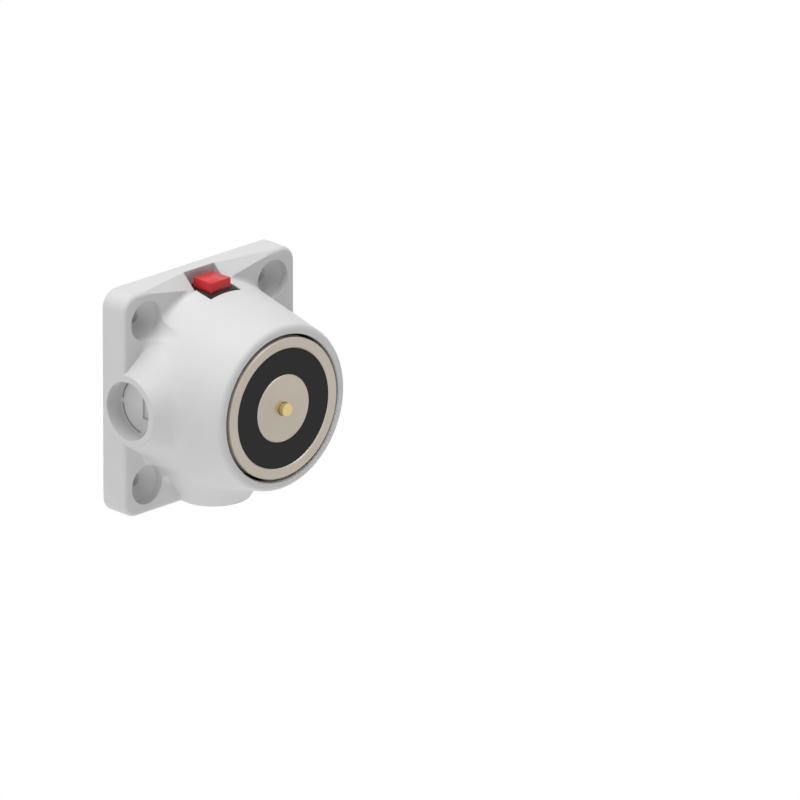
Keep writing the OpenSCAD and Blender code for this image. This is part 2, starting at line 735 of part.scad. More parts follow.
// Pot of the magnet: a turned steel cup
module magnet_pot() {
    color([0.74, 0.71, 0.66]) stood() difference() {
        rotate_extrude() polygon([
            [spigot_r, magnet_back], [magnet_r, magnet_back],
            [magnet_r, face_depth - face_chamfer], [magnet_r - face_chamfer, face_depth],
            [pot_bore_r + face_chamfer, face_depth], [pot_bore_r, face_depth - face_chamfer],
            [pot_bore_r, coil_back], [spigot_r, coil_back]]);
        for (x = [-1, 1]) translate([x * lead_hole_spacing / 2, -lead_hole_y, magnet_back - cut])
            cylinder(h = pot_floor + 2 * cut, r = lead_hole_r, $fn = small_fn);
    }
}

// Core of the magnet: turned steel, pressed into the pot's floor and bored for pin and spring
module magnet_core() {
    mouth_depth = pin_mouth_r - pin_r - pin_fit;
    color([0.74, 0.71, 0.66]) stood() rotate_extrude() polygon([
        [spring_bore_r, magnet_back], [spigot_r, magnet_back], [spigot_r, coil_back],
        [core_r, coil_back], [core_r, face_depth - face_chamfer],
        [core_r - face_chamfer, face_depth], [pin_mouth_r, face_depth],
        [pin_r + pin_fit, face_depth - mouth_depth], [pin_r + pin_fit, guide_back],
        [spring_bore_r, guide_back]]);
}

// Bobbin of the coil
module coil_bobbin() {
    inner_r = core_r + bobbin_gap;
    outer_r = pot_bore_r - bobbin_gap;
    low = coil_back;
    high = resin_back;
    color([0.82, 0.80, 0.74]) stood() rotate_extrude() polygon([
        [inner_r, low], [outer_r, low], [outer_r, low + bobbin_wall],
        [inner_r + bobbin_wall, low + bobbin_wall], [inner_r + bobbin_wall, high - bobbin_wall],
        [outer_r, high - bobbin_wall], [outer_r, high], [inner_r, high]]);
}

// Winding of the coil, as one solid
module coil_winding() {
    inner_r = core_r + bobbin_gap + bobbin_wall;
    outer_r = pot_bore_r - bobbin_gap - winding_margin;
    low = coil_back + bobbin_wall;
    high = resin_back - bobbin_wall;
    color([0.72, 0.40, 0.22]) stood() rotate_extrude() translate([inner_r, low])
        square([outer_r - inner_r, high - low]);
}

// Ring of black resin that seals the coil
module resin_ring() {
    color([0.17, 0.17, 0.17]) stood() rotate_extrude() translate([core_r, resin_back])
        square([pot_bore_r - core_r, resin_depth - max(resin_recess, face_chamfer)]);
}

// Screw that pulls the magnet onto the bracket, with a hexagon socket
module magnet_screw() {
    seat = magnet_back - bracket_thickness - washer_thickness;
    color([0.62, 0.63, 0.64]) stood() difference() {
        union() {
            translate([0, 0, seat - magnet_head_h])
                cylinder(h = magnet_head_h, r = magnet_head_r, $fn = 64);
            translate([0, 0, seat])
                cylinder(h = screw_tip - seat, r = magnet_screw_r, $fn = small_fn);
        }
        translate([0, 0, seat - magnet_head_h - cut])
            cylinder(h = hex_depth + cut, r = magnet_head_hex / 2 / cos(30), $fn = 6);
    }
}

// Split lock washer under the screw's head
module lock_washer() {
    color([0.55, 0.56, 0.57]) stood()
        translate([0, 0, magnet_back - bracket_thickness - washer_thickness])
            linear_extrude(washer_thickness) difference() {
                circle(washer_r, $fn = 64);
                circle(magnet_screw_r + screw_fit, $fn = small_fn);
                translate([0, -washer_split / 2]) square([washer_r + cut, washer_split]);
            }
}

// Ejector pin: turned brass, pushed out by its spring as far as its collar lets it
module ejector_pin() {
    tip = face_depth + pin_travel;
    color([0.84, 0.78, 0.57]) stood() rotate_extrude($fn = 64) polygon([
        [0, pin_collar_back - pin_tail_length], [pin_tail_r, pin_collar_back - pin_tail_length],
        [pin_tail_r, pin_collar_back], [pin_collar_r, pin_collar_back],
        [pin_collar_r, pin_collar_front], [pin_r, pin_collar_front],
        [pin_r, tip - pin_chamfer], [pin_r - pin_chamfer, tip], [0, tip]]);
}

// Coil of round wire along z, whose wire starts and ends flat inside the given length
module wire_coil(coil_r, wire_r, length, turns) {
    sides = 6;
    steps = turns * 16;
    points = [for (i = [0 : steps], j = [0 : sides - 1])
        let (turn = 360 * turns * i / steps, lean = 360 * j / sides, reach = coil_r + wire_r * cos(lean))
        [reach * cos(turn), reach * sin(turn),
            wire_r + (length - 2 * wire_r) * i / steps + wire_r * sin(lean)]];
    walls = [for (i = [0 : steps - 1], j = [0 : sides - 1])
        let (k = (j + 1) % sides)
        [i * sides + j, i * sides + k, (i + 1) * sides + k, (i + 1) * sides + j]];
    first = [for (j = [sides - 1 : -1 : 0]) j];
    last = [for (j = [0 : sides - 1]) steps * sides + j];
    polyhedron(concat(points), concat(walls, [first, last]), convexity = 10);
}

// Spring of the ejector pin, between its collar and the tip of the magnet's screw
module ejector_spring() {
    coil_r = (pin_tail_r + spring_bore_r) / 2;
    color([0.70, 0.71, 0.72]) stood() translate([0, 0, screw_tip + stop_gap])
        wire_coil(coil_r, pin_wire_r, pin_collar_back - screw_tip - 2 * stop_gap, pin_turns);
}

// Rectangle with rounded corners, about its centre
module rounded_rectangle(width, depth, r) {
    square([width, depth - 2 * r], center = true);
    square([width - 2 * r, depth], center = true);
    for (x = [-1, 1], y = [-1, 1]) translate([x * (width / 2 - r), y * (depth / 2 - r)])
        circle(r, $fn = small_fn);
}

// Draws along y a form whose outline is given in x and z, about the button's axis
module upright(low) {
    translate([0, low, cap_axis]) rotate([-90, 0, 0]) children();
}

// Cap of the release button, with its stem and the collar that keeps it in the switch
module button_cap() {
    color([0.86, 0.22, 0.22]) stood() {
        upright(cap_bottom) linear_extrude(cap_top - cap_bottom)
            rounded_rectangle(cap_width, cap_depth, cap_edge_r);
        upright(stem_bottom) cylinder(h = cap_bottom - stem_bottom, r = stem_r, $fn = small_fn);
        upright(stem_bottom) cylinder(h = stem_collar_length, r = stem_collar_r, $fn = small_fn);
    }
}

// Black bezel that fills the well round the cap. Its top falls from a flat rim round the cap to
// the drum's surface.
module button_bezel() {
    inner_width = cap_width + 2 * cap_gap;
    inner_depth = cap_depth + 2 * cap_gap;
    width = well_width - 2 * bezel_gap;
    rear = well_rear + bezel_gap;
    front = well_front - bezel_gap;
    flat_size = [inner_width, inner_depth] + [2, 2] * bezel_flat;
    sliver = 0.01;
    color([0.09, 0.09, 0.10]) stood() difference() {
        intersection() {
            hull() {
                translate([-width / 2, well_floor, rear]) cube([width, sliver, front - rear]);
                translate([-width / 2, bezel_corner - sliver, rear]) cube([width, sliver, front - rear]);
                translate([-width / 2, bezel_top - sliver, rear]) cube([width, sliver, sliver]);
                translate([-flat_size.x / 2, bezel_top - sliver, cap_axis - flat_size.y / 2])
                    cube([flat_size.x, sliver, flat_size.y]);
            }
            rotate_extrude() polygon([[0, 0], [drum_r(0), 0], [drum_rim_r, rim_depth], [0, rim_depth]]);
        }
        upright(well_floor - cut) linear_extrude(half)
            rounded_rectangle(inner_width, inner_depth, cap_edge_r);
    }
}

// Body of the switch, under the well's tube
module switch_body() {
    rear = plate_thickness + switch_rear_gap;
    color([0.13, 0.13, 0.14]) stood() difference() {
        translate([-switch_width / 2, switch_bottom, rear])
            cube([switch_width, switch_height, switch_front - rear]);
        upright(switch_bottom + switch_wall)
            cylinder(h = switch_height - 2 * switch_wall, r = chamber_r, $fn = small_fn);
        upright(switch_bottom + switch_wall)
            cylinder(h = switch_height, r = stem_r + stem_gap, $fn = small_fn);
    }
}

// Spring of the switch, under the stem's collar
module switch_spring() {
    length = stem_bottom - switch_bottom - switch_wall;
    color([0.72, 0.73, 0.74]) stood() upright(switch_bottom + switch_wall + stop_gap)
        wire_coil(stem_r, switch_wire_r, length - 2 * stop_gap, switch_turns);
}

// Terminals of the switch
module switch_terminals() {
    color([0.80, 0.72, 0.46]) stood() for (x = [-1, 1])
        translate([x * tab_spacing / 2 - tab_width / 2, switch_bottom - tab_length,
            cap_axis - tab_thickness / 2])
            cube([tab_width, tab_length, tab_thickness]);
}

// Circuit board with its screw holes
module circuit_board() {
    color([0.16, 0.36, 0.22]) stood() translate([0, 0, board_back]) linear_extrude(board_thickness)
        difference() {
            translate([-board_width / 2, board_low]) square([board_width, board_high - board_low]);
            for (place = board_screw_places) translate(place)
                circle(board_screw_r + screw_fit, $fn = small_fn);
        }
}

// Spacers that carry the board on the wall plate
module board_spacers() {
    color([0.80, 0.72, 0.46]) stood() for (place = board_screw_places)
        translate([place.x, place.y, plate_thickness]) difference() {
            cylinder(h = spacer_height, r = spacer_r, $fn = small_fn);
            translate([0, 0, spacer_floor])
                cylinder(h = spacer_height, r = board_screw_r + screw_fit, $fn = small_fn);
        }
}

// Screws of the board
module board_screws() {
    low = plate_thickness + spacer_floor + stop_gap;
    color([0.75, 0.75, 0.74]) stood() for (place = board_screw_places)
        translate([place.x, place.y, 0]) difference() {
            union() {
                translate([0, 0, low]) cylinder(h = board_front - low, r = board_screw_r, $fn = small_fn);
                translate([0, 0, board_front]) cylinder(h = board_head_h, r = board_head_r, $fn = small_fn);
            }
            translate([0, 0, board_front + board_head_h])
                cube([2 * board_head_r + cut, slot_cut, 2 * slot_depth], center = true);
        }
}

// Terminal block, with openings for the wires below and for the screws in front
module terminal_block() {
    opening_z = board_front + clamp_rise;
    color([0.20, 0.42, 0.30]) stood() difference() {
        translate([-block_length / 2, block_low, board_front])
            cube([block_length, block_width, block_height]);
        for (x = clamp_places) {
            translate([x - clamp_opening / 2, block_low - cut, opening_z])
                cube([clamp_opening, block_width - block_wall + cut, clamp_opening]);
            translate([x, clamp_screw_y, opening_z])
                cylinder(h = block_height, r = clamp_screw_r + screw_fit, $fn = small_fn);
        }
    }
}

// Slotted screws of the terminal block
module terminal_screws() {
    top = board_front + block_height - clamp_sink;
    color([0.78, 0.78, 0.76]) stood() for (x = clamp_places)
        translate([x, clamp_screw_y, top - clamp_screw_length]) difference() {
            cylinder(h = clamp_screw_length, r = clamp_screw_r, $fn = small_fn);
            translate([0, 0, clamp_screw_length])
                cube([2 * clamp_screw_r + cut, slot_cut, 2 * slot_depth], center = true);
        }
}

// Body of the diode, which lies on the board
module diode() {
    color([0.12, 0.12, 0.12]) stood()
        translate([diode_place.x - diode_length / 2, diode_place.y, board_front + diode_r + stop_gap])
            rotate([0, 90, 0]) cylinder(h = diode_length, r = diode_r, $fn = small_fn);
}

// Wires of the diode, bent down to the board
module diode_wires() {
    axis_z = board_front + diode_r + stop_gap;
    reach = (diode_pitch - diode_length) / 2;
    color([0.78, 0.78, 0.76]) stood() translate([diode_place.x, diode_place.y, axis_z])
        for (side = [0, 1]) mirror([side, 0, 0]) {
            translate([diode_length / 2, 0, 0]) rotate([0, 90, 0])
                cylinder(h = reach, r = diode_wire_r, $fn = small_fn);
            translate([diode_pitch / 2, 0, 0]) sphere(diode_wire_r, $fn = small_fn);
            translate([diode_pitch / 2, 0, board_front - axis_z])
                cylinder(h = axis_z - board_front, r = diode_wire_r, $fn = small_fn);
        }
}

// Point on a smooth curve through four points, between the second and the third
function curve_point(a, b, c, d, t) =
    0.5 * (2 * b + (c - a) * t + (2 * a - 5 * b + 4 * c - d) * t * t
        + (3 * b - a - 3 * c + d) * t * t * t);

// Points along the smooth curve that passes through a route
function smooth(route, steps) = let (n = len(route)) concat(
    [for (i = [0 : n - 2], s = [0 : steps - 1])
        curve_point(route[max(i - 1, 0)], route[i], route[i + 1], route[min(i + 2, n - 1)], s / steps)],
    [route[n - 1]]);

// Round lead along a path. The side vector has to lie across every stretch of it.
module lead(path, r, side) {
    sides = 8;
    n = len(path);
    rings = [for (i = [0 : n - 1])
        let (along = path[min(i + 1, n - 1)] - path[max(i - 1, 0)],
            u = cross(along, side) / norm(cross(along, side)),
            v = cross(along, u) / norm(along))
        for (j = [0 : sides - 1]) path[i] + r * (u * cos(360 * j / sides) + v * sin(360 * j / sides))];
    walls = [for (i = [0 : n - 2], j = [0 : sides - 1])
        let (k = (j + 1) % sides)
        [i * sides + j, (i + 1) * sides + j, (i + 1) * sides + k, i * sides + k]];
    first = [for (j = [0 : sides - 1]) j];
    last = [for (j = [sides - 1 : -1 : 0]) (n - 1) * sides + j];
    polyhedron(rings, concat(walls, [first, last]), convexity = 10);
}

// Leads from the coil through the pot's floor to the board
module coil_leads() {
    color([0.70, 0.12, 0.10]) stood() for (side = [0, 1]) mirror([side, 0, 0])
        lead(smooth(coil_lead_route, 5), lead_r, [0, 1, 0]);
}

// Leads from the switch past the bracket to the board
module switch_leads() {
    color([0.15, 0.15, 0.55]) stood() for (side = [0, 1]) mirror([side, 0, 0])
        lead(smooth(switch_lead_route, 5), lead_r, [0.55, 0, 0.84]);
}

housing();
wall_plate();
cover_screws();
magnet_bracket();
bracket_rivets();
magnet_pot();
magnet_core();
coil_bobbin();
coil_winding();
resin_ring();
magnet_screw();
lock_washer();
ejector_pin();
ejector_spring();
button_cap();
button_bezel();
switch_body();
switch_spring();
switch_terminals();
circuit_board();
board_spacers();
board_screws();
terminal_block();
terminal_screws();
diode();
diode_wires();
coil_leads();
switch_leads();
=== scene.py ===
import bmesh
import bpy
import json
import math
from mathutils import Matrix, Vector
from mathutils.kdtree import KDTree

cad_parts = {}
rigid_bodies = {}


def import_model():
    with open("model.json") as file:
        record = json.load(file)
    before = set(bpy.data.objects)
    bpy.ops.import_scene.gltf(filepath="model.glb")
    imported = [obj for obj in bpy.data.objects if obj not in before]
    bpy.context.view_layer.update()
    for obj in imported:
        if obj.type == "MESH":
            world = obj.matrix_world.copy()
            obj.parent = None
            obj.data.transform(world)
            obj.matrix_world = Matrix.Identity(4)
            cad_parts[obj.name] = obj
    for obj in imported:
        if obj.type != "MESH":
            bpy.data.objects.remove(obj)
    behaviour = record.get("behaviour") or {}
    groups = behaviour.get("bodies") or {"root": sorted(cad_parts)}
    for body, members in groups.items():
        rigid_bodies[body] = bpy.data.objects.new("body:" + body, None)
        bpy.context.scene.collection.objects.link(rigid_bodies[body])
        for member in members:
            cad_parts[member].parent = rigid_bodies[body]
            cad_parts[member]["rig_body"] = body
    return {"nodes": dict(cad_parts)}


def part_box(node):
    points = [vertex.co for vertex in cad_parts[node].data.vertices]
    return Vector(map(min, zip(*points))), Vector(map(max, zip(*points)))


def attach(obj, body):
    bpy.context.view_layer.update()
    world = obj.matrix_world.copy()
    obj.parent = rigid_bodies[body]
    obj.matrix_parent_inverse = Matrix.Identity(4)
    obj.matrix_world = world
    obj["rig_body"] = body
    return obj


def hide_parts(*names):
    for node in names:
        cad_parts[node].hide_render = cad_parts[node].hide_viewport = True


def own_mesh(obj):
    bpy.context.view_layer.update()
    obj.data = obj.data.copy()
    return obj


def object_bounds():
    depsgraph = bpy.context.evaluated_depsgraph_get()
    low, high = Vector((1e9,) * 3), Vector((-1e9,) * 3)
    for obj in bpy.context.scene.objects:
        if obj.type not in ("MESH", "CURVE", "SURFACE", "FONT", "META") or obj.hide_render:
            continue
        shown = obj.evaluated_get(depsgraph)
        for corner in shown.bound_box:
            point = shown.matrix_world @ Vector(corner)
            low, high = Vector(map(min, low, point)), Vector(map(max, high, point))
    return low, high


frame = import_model()
cad_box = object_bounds()


# Housing: one hollow moulding of white ABS with a fine spark-eroded grain. The drum, the flared
# bosses and the corners of the base run into each other in soft curves. It slips over the magnet
# and carries everything else.
class Signal:
    """What a node gives out, in a material, so that Python's operators can work on it."""

    def __init__(self, finish, socket):
        self.finish, self.socket = finish, socket

    def math(self, operation, *values):
        return self.finish.node("Math", {"operation": operation}, dict(enumerate(values)))

    def __add__(self, other):
        return self.math("ADD", self, other)

    def __radd__(self, other):
        return self.math("ADD", other, self)

    def __sub__(self, other):
        return self.math("SUBTRACT", self, other)

    def __rsub__(self, other):
        return self.math("SUBTRACT", other, self)

    def __mul__(self, other):
        return self.math("MULTIPLY", self, other)

    def __rmul__(self, other):
        return self.math("MULTIPLY", other, self)

    def __gt__(self, other):
        return self.math("GREATER_THAN", self, other)

    def ramp(self, low, high, start=0.0, end=1.0):
        """Goes smoothly from start to end while this goes from low to high."""
        sockets = {"Value": self, 1: low, 2: high, 3: start, 4: end}
        return self.finish.node("MapRange", {"interpolation_type": "SMOOTHSTEP"}, sockets)


class Finish:
    """A material made of nodes, about one shader."""

    def __init__(self, name, colour, roughness, metallic=0.0, coat=0.0):
        self.material = bpy.data.materials.new(name)
        self.material.use_nodes = True
        self.nodes = self.material.node_tree.nodes
        self.links = self.material.node_tree.links
        self.shader = self.nodes["Principled BSDF"]
        self.set("Base Color", srgb(colour))
        self.set("Roughness", roughness)
        self.set("Metallic", metallic)
        self.set("Coat Weight", coat)
        self.place = self.node("TexCoord", {}, {}, "Object")

    def node(self, kind, settings, sockets, output=0):
        """Adds a node: its type, its settings, the values or links of its sockets."""
        made = self.nodes.new("ShaderNode" + kind)
        for name, value in settings.items():
            setattr(made, name, value)
        for name, value in sockets.items():
            self.join(made.inputs[name], value)
        return Signal(self, made.outputs[output])

    def join(self, socket, value):
        if isinstance(value, Signal):
            self.links.new(value.socket, socket)
        else:
            socket.default_value = value

    def set(self, name, value):
        self.join(self.shader.inputs[name], value)

    def noise(self, scale, detail=2.0):
        """Cloudy noise, scale cells to a metre, mostly between 0.3 and 0.7."""
        return self.node("TexNoise", {}, {"Vector": self.place, "Scale": scale, "Detail": detail}, "Fac")

    def tint(self, amount, first, second):
        """Makes the colour go from the first to the second."""
        sockets = {"Factor": amount, 6: srgb(first), 7: srgb(second)}
        self.set("Base Color", self.node("Mix", {"data_type": "RGBA"}, sockets, 2))

    def axes(self, place=None):
        """The place's x, y and z."""
        split = self.node("SeparateXYZ", {}, {0: place or self.place})
        return [Signal(self, output) for output in split.socket.node.outputs]

    def from_axis(self):
        """Distance from the axis of the magnet."""
        x, y, z = self.axes()
        flat = self.node("CombineXYZ", {}, {"X": x, "Z": z})
        return self.node("VectorMath", {"operation": "LENGTH"}, {0: flat}, "Value")

    def relief(self, height, depth, edge=None, where=1.0):
        """Relief of the given depth in metres, over edges rounded by edge metres where told."""
        sockets = {"Strength": 1.0, "Distance": depth, "Height": height}
        if edge:
            plain = self.node("NewGeometry", {}, {}, "Normal")
            rounded = self.node("Bevel", {"samples": 12}, {"Radius": edge})
            both = {0: where, 4: plain, 5: rounded}
            sockets["Normal"] = self.node("Mix", {"data_type": "VECTOR"}, both, 1)
        self.set("Normal", self.node("Bump", {}, sockets))

    def put_on(self, thing):
        """Gives the finish to a piece."""
        thing.data.materials.clear()
        thing.data.materials.append(self.material)


def srgb(colour):
    """Colour as the shader wants it, from the values 0 to 255 of a picture."""
    def light(value):
        value /= 255
        return value / 12.92 if value <= 0.04045 else ((value + 0.055) / 1.055) ** 2.4
    return (*[light(value) for value in colour], 1.0)


def merged(node):
    """Closed bmesh of a CAD node."""
    shape = bmesh.new()
    shape.from_mesh(frame["nodes"][node].data)
    bmesh.ops.remove_doubles(shape, verts=shape.verts, dist=2e-6)
    return shape


def copied(node, crease=26, shape=None):
    """Smooth piece that stands for a CAD node. Edges sharper than crease degrees stay sharp."""
    shape = shape or merged(node)
    for face in shape.faces:
        face.smooth = True
    for edge in shape.edges:
        edge.smooth = edge.calc_face_angle(math.pi) < math.radians(crease)
    name = node + "_moulded"
    mesh = bpy.data.meshes.new(name)
    shape.to_mesh(mesh)
    shape.free()
    piece = bpy.data.objects.new(name, mesh)
    bpy.context.scene.collection.objects.link(piece)
    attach(piece, frame["nodes"][node]["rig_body"])
    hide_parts(node)
    return piece


# Radius and height above the wall at the two ends of the drum's cone
drum_foot, drum_tip = Vector((0.0360, 0.0104)), Vector((0.0292, 0.0463))
drum_slope = (drum_tip - drum_foot).normalized()
screw_spacing, pocket_edge_r = 0.059, 0.0081
# Along y, where the flares rise from the base, where their valleys start and where they end
flare_foot, valley_start, valley_end = -0.0115, -0.0125, -0.044
below_well = 0.024


def drum_place(point):
    """Distance from the axis of the drum, and height above its cone."""
    from_axis = math.hypot(point.x, point.z)
    along = Vector((from_axis, -point.y)) - drum_foot
    return from_axis, along.x * drum_slope.y - along.y * drum_slope.x


def on_cone(face, tolerance=0.0003, lean=2.5):
    """Whether a face is part of the drum's cone, within tolerance metres and lean degrees."""
    middle = face.calc_center_median()
    from_axis, height = drum_place(middle)
    if from_axis < drum_tip.x / 2 or abs(height) > tolerance:
        return False
    outward = Vector((middle.x, 0, middle.z)) / from_axis
    normal = outward * drum_slope.y + Vector((0, drum_slope.x, 0))
    return face.normal.dot(normal) > math.cos(math.radians(lean))


def in_pocket(point):
    """Whether a point lies in or at the edge of a screw pocket."""
    return math.hypot(abs(point.x) - screw_spacing / 2, abs(point.z) - screw_spacing / 2) < pocket_edge_r


def soften_flares(shape, reach, length):
    """Rounds the valleys where the flared bosses meet the drum, over reach metres on each side.
    The mesh there is first cut up, until its edges are no longer than length."""
    cone = {face for face in shape.faces if on_cone(face)}
    seam = [edge.verts[0].co.copy() for edge in shape.edges
            if len(cone.intersection(edge.link_faces)) == 1
            and edge.calc_face_angle(0) > math.radians(3)
            and valley_end < edge.verts[0].co.y < valley_start
            and edge.verts[0].co.z < below_well
            and not in_pocket(edge.verts[0].co)]
    tree = KDTree(len(seam))
    for index, point in enumerate(seam):
        tree.insert(point, index)
    tree.balance()

    def near(vert, distance):
        outward = Vector((vert.co.x, 0, vert.co.z))
        return (vert.co.y < flare_foot and vert.normal.dot(outward) > 0 and not in_pocket(vert.co)
                and tree.find(vert.co)[2] < distance)

    for _ in range(4):
        zone = {vert for vert in shape.verts if near(vert, 1.6 * reach)}
        long_edges = [edge for edge in shape.edges
                      if edge.calc_length() > length and zone.intersection(edge.verts)]
        bmesh.ops.subdivide_edges(shape, edges=long_edges, cuts=1)
        bmesh.ops.triangulate(shape, faces=[face for face in shape.faces if len(face.verts) > 3])
        shape.normal_update()
    for share in (1.0, 0.85, 0.7, 0.55, 0.4):
        zone = [vert for vert in shape.verts if near(vert, share * reach)]
        for _ in range(8):
            bmesh.ops.smooth_vert(shape, verts=zone, factor=0.5,
                                  use_axis_x=True, use_axis_y=True, use_axis_z=True)
    shape.normal_update()


shape = merged("housing")
# The top edge behind the button is straight: the groove that the solids' two ramps leave is filled
top, groove_depth, groove_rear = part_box("housing")[1].z, 0.002, -0.0045
for vert in shape.verts:
    behind_button = abs(vert.co.x) < 0.001 and vert.co.y < groove_rear
    if behind_button and top - groove_depth < vert.co.z < top:
        vert.co.z = top
soften_flares(shape, reach=0.005, length=0.0013)
housing = copied("housing", shape=shape)
even_light = housing.modifiers.new("even_light", "WEIGHTED_NORMAL")
even_light.keep_sharp = True
even_light.weight = 60

abs_white = Finish("white_abs", (211, 211, 211), 0.54)
abs_white.set("Specular IOR Level", 0.32)
grain = abs_white.noise(2600, 2.0)
clouds = abs_white.noise(38, 3.0)
at_rim = abs_white.from_axis() > 0.0275
abs_white.tint(clouds.ramp(0.3, 0.7), (209, 209, 209), (213, 213, 213))
abs_white.set("Roughness", clouds.ramp(0.3, 0.7, 0.5, 0.58) + grain.ramp(0.3, 0.7, 0.0, 0.05))
abs_white.relief(grain, 0.00001, edge=0.0005, where=at_rim)
abs_white.put_on(housing)


# Magnet: a turned pot and a turned core of nickel-plated steel, ground flush after the coil was
# potted in. The grinding leaves fine rings, and the edges are broken by a small chamfer. The side
# of the pot keeps a dull grey coat.
magnet_steel = Finish("nickel_plated_steel", (186, 178, 165), 0.34, metallic=1.0)
rings = magnet_steel.node("TexNoise", {"noise_dimensions": "1D"},
                          {"W": magnet_steel.from_axis(), "Scale": 5200.0, "Detail": 3.0}, "Fac")
patches = magnet_steel.noise(55, 3.0)
magnet_steel.tint(patches.ramp(0.3, 0.7), (183, 175, 162), (190, 182, 169))
magnet_steel.set("Roughness", rings.ramp(0.3, 0.7, 0.31, 0.35) + patches.ramp(0.3, 0.7, 0.0, 0.04))
coated_side = magnet_steel.from_axis() > 0.02495
magnet_steel.set("Metallic", 1 - coated_side)
magnet_steel.relief(rings, 0.0000003, edge=0.00012)
for node in ("magnet_pot", "magnet_core"):
    magnet_steel.put_on(copied(node))


# Resin ring: black epoxy, poured over the coil to seal it and ground level with the steel. It is
# dull, with fine pores.
resin = Finish("black_epoxy", (32, 32, 32), 0.6)
resin.set("Specular IOR Level", 0.2)
pores = resin.noise(900, 3.0)
resin.tint(pores.ramp(0.35, 0.65), (29, 29, 29), (35, 35, 35))
resin.set("Roughness", pores.ramp(0.3, 0.7, 0.5, 0.6))
resin.relief(pores, 0.000004)
resin.put_on(copied("resin_ring"))


# Coil: enamelled copper wire, wound in even layers on a moulded nylon bobbin. It lies in the pot,
# out of sight under the resin.
bobbin = Finish("natural_nylon", (209, 204, 189), 0.5)
bobbin.relief(bobbin.noise(1500), 0.00001)
bobbin.tint(bobbin.noise(60).ramp(0.3, 0.7), (205, 200, 184), (214, 209, 196))
bobbin.put_on(frame["nodes"]["coil_bobbin"])

wire = Finish("enamelled_copper", (176, 98, 52), 0.3, metallic=0.85, coat=0.5)
layers = wire.node("Math", {"operation": "SINE"}, {0: wire.axes()[1] * (2 * math.pi / 0.0005)})
wire.tint(wire.noise(90).ramp(0.3, 0.7), (168, 90, 46), (188, 108, 60))
wire.relief(layers, 0.00012)
wire.put_on(frame["nodes"]["coil_winding"])


# Ejector pin: turned from brass, with a broken edge at its tip and a collar that keeps it in the
# core. The spring behind it pushes the keeper off when the coil lets go.
brass = Finish("turned_brass", (221, 203, 138), 0.22, metallic=1.0)
along_pin = brass.axes()[1]
turning = brass.node("TexNoise", {"noise_dimensions": "1D"}, {"W": along_pin, "Scale": 6000.0}, "Fac")
brass.tint(turning.ramp(0.3, 0.7), (214, 196, 130), (228, 211, 148))
brass.set("Roughness", turning.ramp(0.3, 0.7, 0.17, 0.28))
brass.relief(turning, 0.000002)
brass.put_on(copied("ejector_pin"))


# Release button: a satin red cap, moulded with soft edges, in a black bezel that fills the well in
# the housing. The body of the switch below it is of the same black plastic.
red = Finish("red_plastic", (206, 49, 49), 0.34)
red.set("Specular IOR Level", 0.3)
red_grain = red.noise(2600, 2.0)
red.tint(red.noise(150).ramp(0.3, 0.7), (204, 47, 47), (208, 51, 51))
red.set("Roughness", red_grain.ramp(0.3, 0.7, 0.3, 0.38))
red.relief(red_grain, 0.0000012)
cap = merged("button_cap")
bmesh.ops.dissolve_limit(cap, angle_limit=math.radians(1), verts=cap.verts, edges=cap.edges)
corners = [edge for edge in cap.edges if edge.calc_face_angle(0) > math.radians(60)]
bmesh.ops.bevel(cap, geom=corners, offset=0.0002, affect="EDGES", segments=2, profile=0.5, material=-1)
red.put_on(copied("button_cap", shape=cap))

black = Finish("black_plastic", (20, 20, 21), 0.4)
black.set("Specular IOR Level", 0.2)
black_grain = black.noise(1800, 2.0)
black.tint(black.noise(120).ramp(0.3, 0.7), (17, 17, 18), (24, 24, 25))
black.set("Roughness", black_grain.ramp(0.3, 0.7, 0.34, 0.46))
black.relief(black_grain, 0.000002, edge=0.0001)
black.put_on(frame["nodes"]["button_bezel"])
black.put_on(frame["nodes"]["switch_body"])


# Wall plate and bracket: galvanised steel sheet, cut and bent, whose zinc has set in broad flakes.
# The bracket carries the magnet and is riveted to the plate.
zinc = Finish("galvanised_sheet", (176, 179, 181), 0.38, metallic=0.9)
flakes = zinc.node("TexVoronoi", {}, {"Vector": zinc.place, "Scale": 260.0}, "Color")
flake = zinc.axes(flakes)[0]
streaks = zinc.noise(420, 4.0)
zinc.tint(flake * 0.6 + streaks * 0.4, (158, 162, 165), (192, 194, 195))
zinc.set("Roughness", flake.ramp(0.0, 1.0, 0.3, 0.46))
zinc.relief(streaks, 0.00001, edge=0.0002)
zinc.put_on(frame["nodes"]["wall_plate"])
zinc.put_on(frame["nodes"]["magnet_bracket"])
zinc.put_on(frame["nodes"]["bracket_rivets"])


# Screws: yellow-passivated ones hold the wall plate to the housing. Plain zinc-plated ones hold the
# magnet, with a split washer, and the board, and clamp the wires in the terminal block.
yellow = Finish("yellow_zinc", (203, 190, 140), 0.3, metallic=1.0)
rainbow = yellow.noise(300, 2.0)
yellow.tint(rainbow.ramp(0.3, 0.7), (196, 184, 128), (206, 190, 158))
yellow.set("Roughness", rainbow.ramp(0.3, 0.7, 0.24, 0.36))
yellow.put_on(frame["nodes"]["cover_screws"])

bright = Finish("plain_steel", (178, 180, 182), 0.28, metallic=1.0)
scuffs = bright.noise(700, 4.0)
bright.tint(scuffs.ramp(0.3, 0.7), (168, 170, 172), (188, 189, 190))
bright.set("Roughness", scuffs.ramp(0.3, 0.7, 0.22, 0.36))
bright.relief(scuffs, 0.000004, edge=0.00012)
for node in ("magnet_screw", "lock_washer", "board_screws", "terminal_screws"):
    bright.put_on(frame["nodes"][node])
